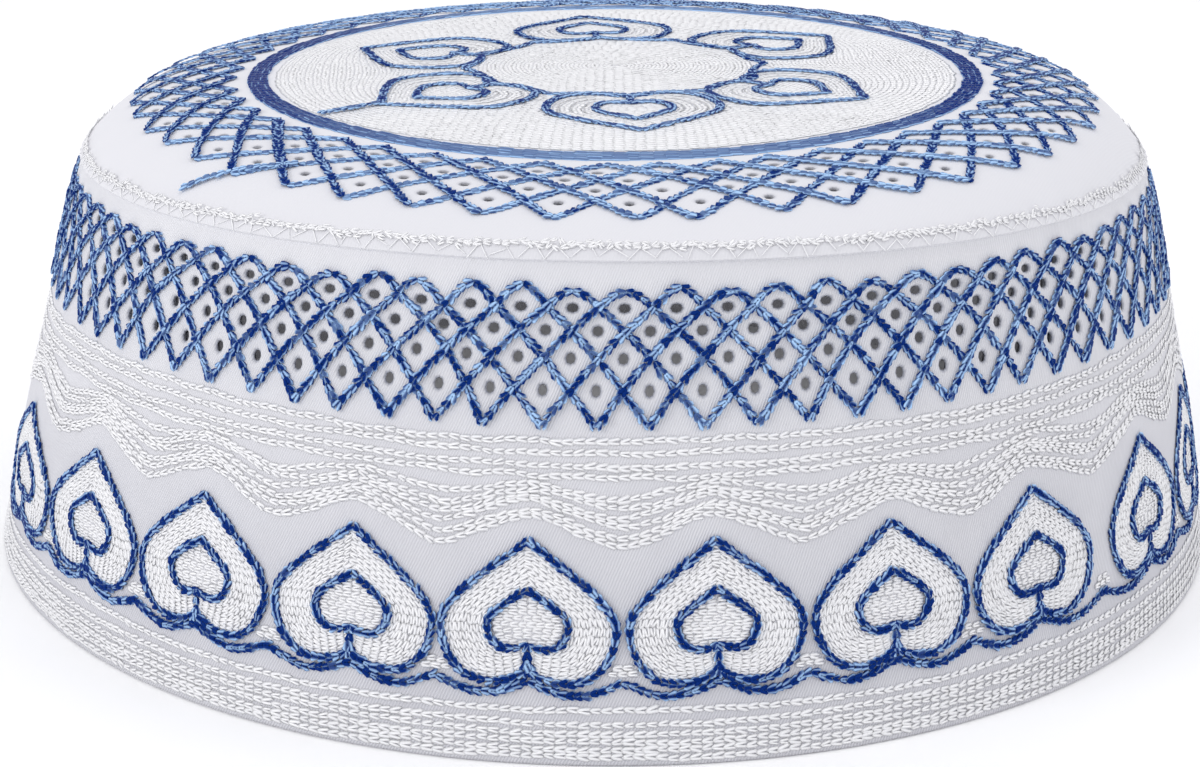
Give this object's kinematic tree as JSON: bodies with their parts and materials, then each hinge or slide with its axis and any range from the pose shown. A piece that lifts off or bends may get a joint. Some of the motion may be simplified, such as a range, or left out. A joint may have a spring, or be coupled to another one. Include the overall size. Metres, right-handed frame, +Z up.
{
  "type": "kufi",
  "caption": "Round brimless cap: a tapered cotton side band under a shallow domed crown, pierced by eyelets and covered in chain-stitch embroidery.",
  "frame": {"origin": "middle of the rim, on the surface that the cap stands on", "axes": "+Z up through the middle of the crown, -Y towards the front of the cap"},
  "size_m": [0.1878, 0.1878, 0.0682],
  "materials": {
    "white_cotton": "fine white cotton twill, quilted with rows of stitching",
    "white_thread": "glossy white embroidery thread in chain stitch",
    "blue_thread": "glossy royal blue embroidery thread in chain stitch"
  },
  "bodies": {
    "root": {"side_band": "white_cotton", "crown_panel": "white_cotton"}
  },
  "joints": []
}
